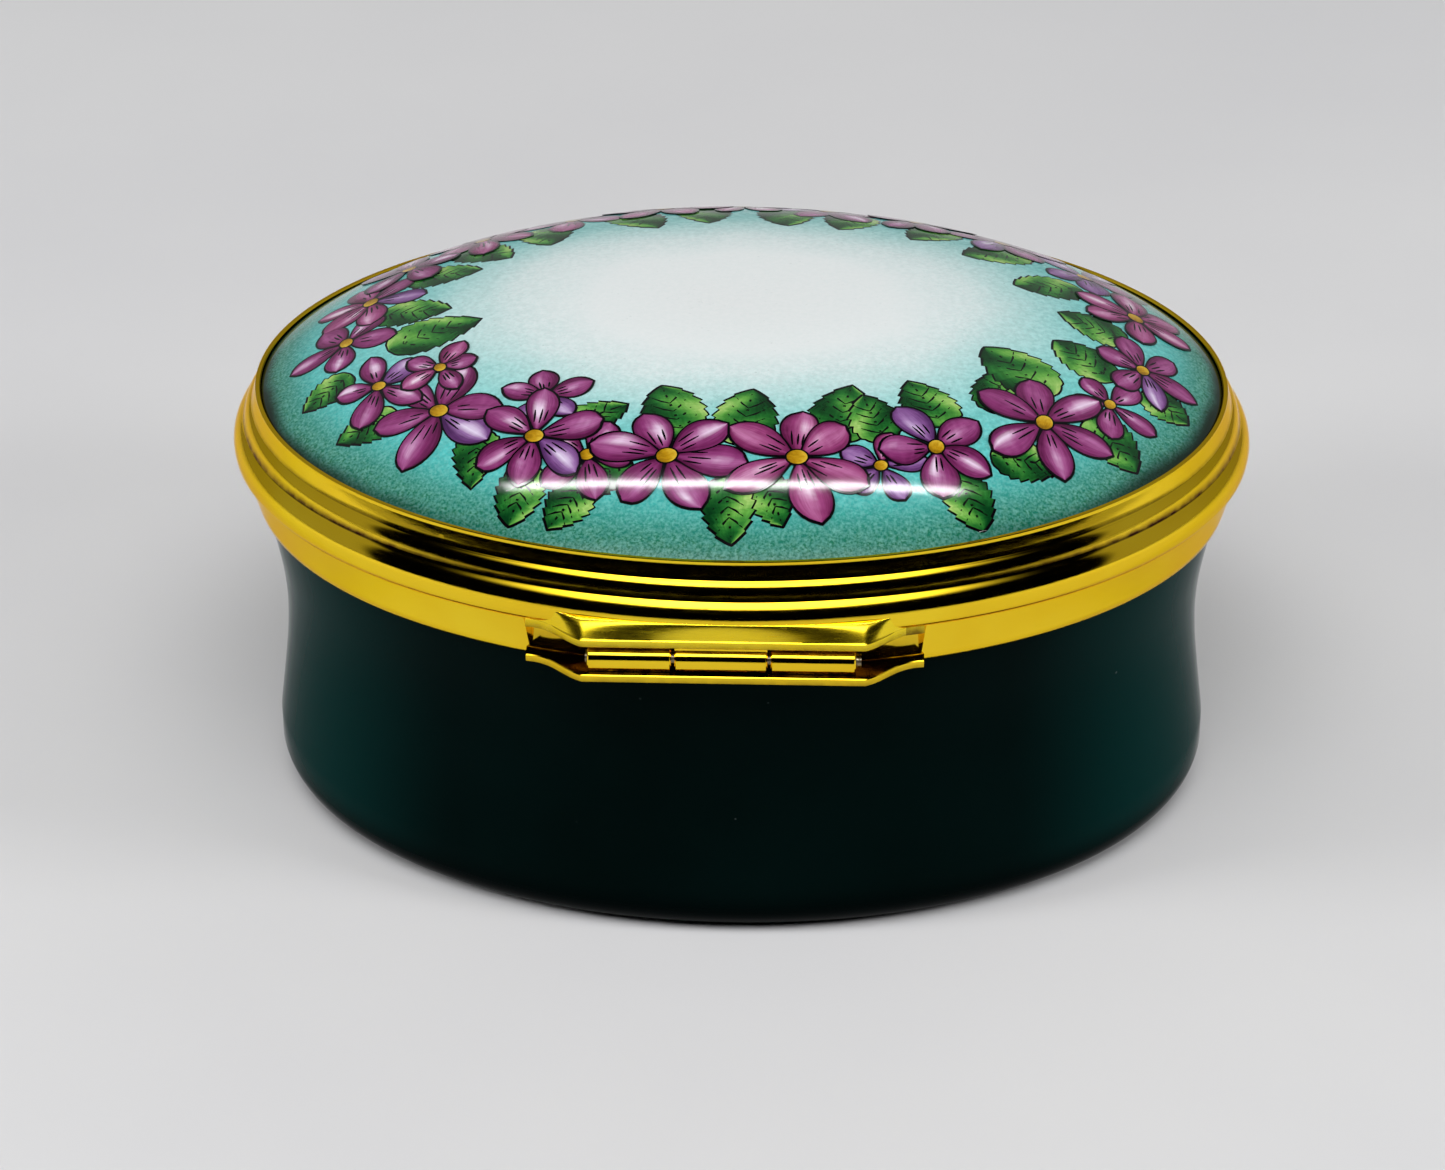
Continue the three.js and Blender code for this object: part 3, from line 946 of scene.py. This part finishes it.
def petal(spot, length, width, lift, tones, bend):
    """A petal over its black outline, with a lighter glow, a shaded side and two or three veins."""
    shape = (rng.uniform(0.9, 1.2), rng.uniform(0.58, 0.8))
    rows, cols = 14, 7
    outline = blade(spot, length, width, HEART, shape, 0.095, rows, cols, bend)
    ink.patch(outline, lift, [[INK] * cols for _ in range(rows)])
    grid = blade(spot, length, width, HEART, shape, 0.0, rows, cols, bend)
    glow_u, glow_v = rng.uniform(-0.5, 0.5), rng.uniform(0.3, 0.75)
    shade_side = rng.choice((-1, 1))
    strength = rng.uniform(0.2, 0.8)
    streaks = [rng.uniform(-0.11, 0.11) for _ in range(cols)]
    colours = []
    for i in range(rows):
        v = i / (rows - 1)
        row = []
        for j in range(cols):
            u = 2 * j / (cols - 1) - 1
            glow = math.exp(-(((u - glow_u) / 0.36) ** 2) - ((v - glow_v) / 0.32) ** 2)
            rim = 0.3 * abs(u) ** 2 + 0.16 * max(0.0, u * shade_side) + 0.3 * (1 - v) ** 3
            share = 0.5 + strength * glow - rim + streaks[j]
            row.append(blend(tones, share + rng.uniform(-0.05, 0.05)))
        colours.append(row)
    petals.patch(grid, lift + LAYER, colours)
    count = rng.choice((2, 3, 3))
    for k in range(count):
        spread = (k - (count - 1) / 2) * 0.2 + rng.uniform(-0.04, 0.04)
        v0 = rng.uniform(0.14, 0.26)
        v1 = v0 + rng.uniform(0.2, 0.36)
        points = []
        for step in range(4):
            v = v0 + (v1 - v0) * step / 3
            side = spread * width * (0.5 + v) + bend * length * v * v
            points.append((side, HEART + length * v))
        stroke(spot, points, 0.12, lift + LINE_LIFT)


def flower(angle, reach, size, count, spin, base):
    """count petals one over another from the height base, and a round centre on top."""
    spot = Spot(angle, reach, spin)
    family = rng.choice((MAGENTA, MAGENTA, ROSE, LAVENDER))
    order = list(range(count))
    rng.shuffle(order)
    for k, i in enumerate(order):
        tones = family if rng.random() < 0.8 else rng.choice((MAGENTA, ROSE, LAVENDER))
        length = size * rng.uniform(0.9, 1.2) - HEART
        width = size * rng.uniform(0.52, 0.66) * (5 / count) ** 0.5
        turned = spot.turned(360 / count * i + rng.uniform(-9, 9))
        petal(turned, length, width, base + 2.2 * k * LAYER, tones, rng.uniform(-0.12, 0.12))
    top = base + 2.2 * count * LAYER
    heart = max(0.3, size * 0.13)
    discs = ((ink, heart + 0.09, [INK, INK, INK], top), (centres, heart, OCHRE, top + LAYER))
    for paint, radius, tones, lift in discs:
        grid, colours = [], []
        for i in range(7):
            row, tints = [], []
            for j in range(7):
                s, t = i / 3 - 1, j / 3 - 1
                disc_u = s * math.sqrt(1 - t * t / 2) * radius * 1.15
                disc_v = t * math.sqrt(1 - s * s / 2) * radius
                row.append(spot.at(disc_u, disc_v))
                tints.append(blend(tones, 0.55 + 0.3 * s + rng.uniform(-0.12, 0.12)))
            grid.append(row)
            colours.append(tints)
        paint.patch(grid, lift, colours)


def leaf_shape(angle, reach, heading, length, width, base):
    """A toothed leaf over its black outline, lit from one side, with a midrib and side veins."""
    spot = Spot(angle, reach, heading)
    shape = (rng.uniform(0.42, 0.55), rng.uniform(0.7, 0.9))
    bend = rng.uniform(-0.14, 0.14)
    rows, cols = 43, 9
    teeth = (7, 0.26)
    outline = blade(spot, length, width, 0, shape, 0.1, rows, cols, bend, teeth)
    ink.patch(outline, base, [[INK] * cols for _ in range(rows)])
    grid = blade(spot, length, width, 0, shape, 0.0, rows, cols, bend, teeth)
    lit = rng.choice((-1, 1))
    phase = rng.uniform(0, 6)
    colours = []
    for i in range(rows):
        v = i / (rows - 1)
        row = []
        for j in range(cols):
            u = (2 * j / (cols - 1) - 1) * lit
            share = 0.46 + 0.34 * u + 0.2 * math.sin(10 * v + 3 * u + phase) - 0.25 * v**4
            row.append(blend(LEAF_TONES, share + rng.uniform(-0.05, 0.05)))
        colours.append(row)
    leaves.patch(grid, base + LAYER, colours)
    rib = [(bend * length * v * v, length * v) for v in (0.02, 0.2, 0.4, 0.6, 0.78, 0.92)]
    stroke(spot, rib, 0.15, base + LINE_LIFT)
    for v in (0.16, 0.32, 0.48, 0.64):
        for side in (-1, 1):
            out = side * width * 0.36 * (1 - v) ** 0.4
            root = bend * length * v * v
            vein = ((0, 0), (0.5, 0.07), (1, 0.17))
            points = [(root + out * share, length * (v + rise)) for share, rise in vein]
            stroke(spot, points, 0.12, base + LINE_LIFT)


# Each flower: angle round the oval, share of the way to the edge, petal length, petals, spin.
FLOWERS = [
    (184, 0.82, 2.9, 5, 10),
    (204, 0.80, 2.6, 5, 40),
    (207, 0.68, 2.1, 5, 5),
    (219, 0.77, 3.3, 6, 20),
    (232, 0.62, 2.3, 5, 0),
    (238, 0.75, 3.2, 6, 12),
    (248, 0.77, 2.6, 5, 30),
    (260, 0.745, 3.5, 6, 25),
    (280, 0.745, 3.5, 6, 0),
    (292, 0.79, 2.2, 5, 15),
    (302, 0.765, 3.0, 5, 50),
    (322, 0.79, 3.4, 6, 30),
    (336, 0.83, 2.4, 5, 10),
    (351, 0.84, 2.8, 6, 0),
    (12, 0.84, 3.3, 6, 20),
    (30, 0.83, 2.9, 5, 35),
    (47, 0.80, 3.0, 6, 5),
    (62, 0.77, 2.8, 5, 18),
    (77, 0.76, 3.2, 6, 40),
    (91, 0.77, 2.5, 5, 0),
    (104, 0.76, 3.1, 6, 22),
    (120, 0.76, 3.0, 5, 8),
    (136, 0.79, 3.2, 6, 33),
    (152, 0.81, 3.0, 5, 14),
    (168, 0.80, 3.2, 6, 3),
]
# Each leaf: angle, share, heading from straight outward, length, width.
LEAVES = [
    (176, 0.76, 165, 3.6, 2.3),
    (193, 0.74, 190, 4.4, 2.8),
    (196, 0.83, 20, 2.6, 2.0),
    (213, 0.82, -15, 2.8, 2.0),
    (229, 0.78, 30, 2.9, 2.0),
    (242, 0.71, 150, 2.9, 1.9),
    (241, 0.83, 5, 2.8, 2.1),
    (250, 0.85, -20, 2.4, 2.0),
    (254, 0.76, -35, 2.9, 2.0),
    (262, 0.68, 205, 3.6, 2.7),
    (271, 0.70, 170, 3.7, 2.7),
    (269, 0.80, 10, 3.0, 2.2),
    (274, 0.80, 30, 2.4, 1.9),
    (287, 0.70, 160, 3.8, 2.8),
    (295, 0.72, 185, 3.0, 2.2),
    (306, 0.71, 175, 3.2, 2.5),
    (309, 0.82, 60, 3.0, 2.1),
    (302, 0.84, 0, 2.8, 2.1),
    (318, 0.73, 150, 3.0, 2.6),
    (329, 0.74, 165, 4.2, 3.0),
    (330, 0.83, -10, 3.1, 2.5),
    (343, 0.80, 160, 3.5, 2.4),
    (345, 0.86, -10, 2.4, 2.2),
    (0, 0.80, 170, 3.4, 2.4),
    (21, 0.76, 185, 3.5, 2.5),
    (25, 0.86, 10, 2.3, 1.9),
    (38, 0.76, 165, 3.6, 2.5),
    (55, 0.74, 185, 3.2, 2.3),
    (56, 0.83, 0, 2.6, 2.0),
    (70, 0.72, 170, 3.4, 2.5),
    (84, 0.71, 190, 3.5, 2.5),
    (86, 0.82, -10, 2.6, 2.0),
    (98, 0.71, 175, 3.2, 2.4),
    (112, 0.71, 185, 3.5, 2.5),
    (114, 0.82, 10, 2.6, 2.0),
    (128, 0.72, 165, 3.3, 2.4),
    (144, 0.75, 180, 3.5, 2.5),
    (146, 0.85, 5, 2.4, 1.9),
    (160, 0.75, 195, 3.4, 2.4),
]
# Leaves lie lowest, at four heights in turn, and the flowers over them at three, so that no two
# neighbours share a height.
for index, (angle, reach, heading, length, width) in enumerate(LEAVES):
    base = LAYER * (1 + 2.4 * (index % 4))
    leaf_shape(angle, reach, heading, 1.2 * length, 1.15 * width, base)
for index, numbers in enumerate(FLOWERS):
    flower(*numbers, LAYER * (12 + 16 * (index % 3)))
for name, paint in (
    ("wreath_outlines", ink),
    ("wreath_leaves", leaves),
    ("violet_petals", petals),
    ("violet_centres", centres),
):
    piece = paint.piece(name)
    piece.data.materials.append(painted)
    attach(piece, "lid")


# ---- floor, light and camera -------------------------------------------------------------------
def floor_material():
    """Pale paper, very slightly uneven in tone."""
    n = MaterialNodes("floor_paper")
    colour = n.mix(n.remap(n.noise(25, 3), 0.3, 0.7), srgb(226, 226, 227), srgb(221, 221, 223))
    return n.surface(Base_Color=colour, Roughness=0.75, Specular_IOR_Level=0.2)


bpy.ops.mesh.primitive_plane_add(size=3.0, location=(0, 0.4, 0))
floor = bpy.context.object
floor.name = "floor"
floor.data.materials.append(floor_material())


def area_light(name, place, aim, size, power):
    """A rectangular light at place, turned to aim. Metres and watts."""
    light = bpy.data.lights.new(name, "AREA")
    light.shape = "RECTANGLE"
    light.size, light.size_y = size
    light.energy = power
    lamp = bpy.data.objects.new(name, light)
    lamp.location = place
    lamp.rotation_euler = (Vector(aim) - Vector(place)).to_track_quat("-Z", "Y").to_euler()
    bpy.context.scene.collection.objects.link(lamp)
    return lamp


key = area_light("key_softbox", (0.0, -0.09, 0.28), (0, 0, 0), (0.34, 0.06), 0.15)
key.visible_glossy = False
# The tube only makes the bright streak across the dome.
tube = area_light("ceiling_tube", (-0.008, 0.02, 0.3), (-0.008, 0.0201, 0), (0.26, 0.012), 0.36)
tube.visible_diffuse = False
for side in (-1, 1):
    fill = area_light("side_fill", (side * 0.3, -0.11, 0.18), (0, 0, 0), (0.09, 0.09), 0.4)
    fill.visible_glossy = False


SIDE_WALLS, BACK_WALL, SOFTBOX = 0.32, 0.25, 5.5  # brightness
SOFTBOX_HEIGHT = 0.8  # of the softbox's middle, as the Z of its direction


def studio_world():
    """Pale walls at the sides and behind, and a dark front with one wide softbox hung in it."""
    world = bpy.data.worlds.new("studio")
    world.use_nodes = True
    n = Nodes(world.node_tree)
    across, along, up = n.axes("Generated")
    sideways = n.calc("ABSOLUTE", across)

    # The walls begin past a slanting line, so that the dark front widens towards the zenith.
    past_front = n.calc("ADD", sideways, n.calc("MULTIPLY", along, 3.07))
    past_front = n.calc("SUBTRACT", past_front, n.calc("MULTIPLY", up, 0.79))
    walls = n.remap(along, 0.0, 0.8, SIDE_WALLS, BACK_WALL, smooth=True)
    walls = n.calc("MULTIPLY", n.remap(past_front, -0.12, 0.16, smooth=True), walls)
    walls = n.calc("MULTIPLY", walls, n.remap(up, 0.97, 0.6, smooth=True))

    off_centre = n.calc("ABSOLUTE", n.calc("SUBTRACT", up, SOFTBOX_HEIGHT))
    tall = n.remap(off_centre, 0.2, 0.05, smooth=True)
    softbox = n.calc("MULTIPLY", tall, n.remap(sideways, 0.75, 0.1, smooth=True))
    softbox = n.calc("MULTIPLY", softbox, n.remap(along, -0.15, -0.35, smooth=True))
    softbox = n.calc("MULTIPLY", n.calc("POWER", softbox, 1.6), SOFTBOX)
    n.link(n.calc("ADD", walls, softbox), n.tree.nodes["Background"].inputs["Color"])
    bpy.context.scene.world = world


studio_world()
view = bpy.context.scene.view_settings
view.view_transform = "Standard"
view.look = "None"

LOOK_AT = Vector((0, 0, 0.4 * cad_box[1].z))
DISTANCE = 0.297
AZIMUTH, ELEVATION = math.radians(1.85), math.radians(29.085)  # to the right of -Y, and up
camera_data = bpy.data.cameras.new("camera")
camera_data.sensor_width = 36
camera_data.lens = 136.97
camera_data.shift_x, camera_data.shift_y = -0.0129, -0.0094
camera = bpy.data.objects.new("camera", camera_data)
back = Vector(
    (
        math.sin(AZIMUTH) * math.cos(ELEVATION),
        -math.cos(AZIMUTH) * math.cos(ELEVATION),
        math.sin(ELEVATION),
    )
)
camera.location = LOOK_AT + back * DISTANCE
camera.rotation_euler = (-back).to_track_quat("-Z", "Y").to_euler()
camera_data.clip_start, camera_data.clip_end = 0.01, 10
bpy.context.scene.collection.objects.link(camera)
bpy.context.scene.camera = camera
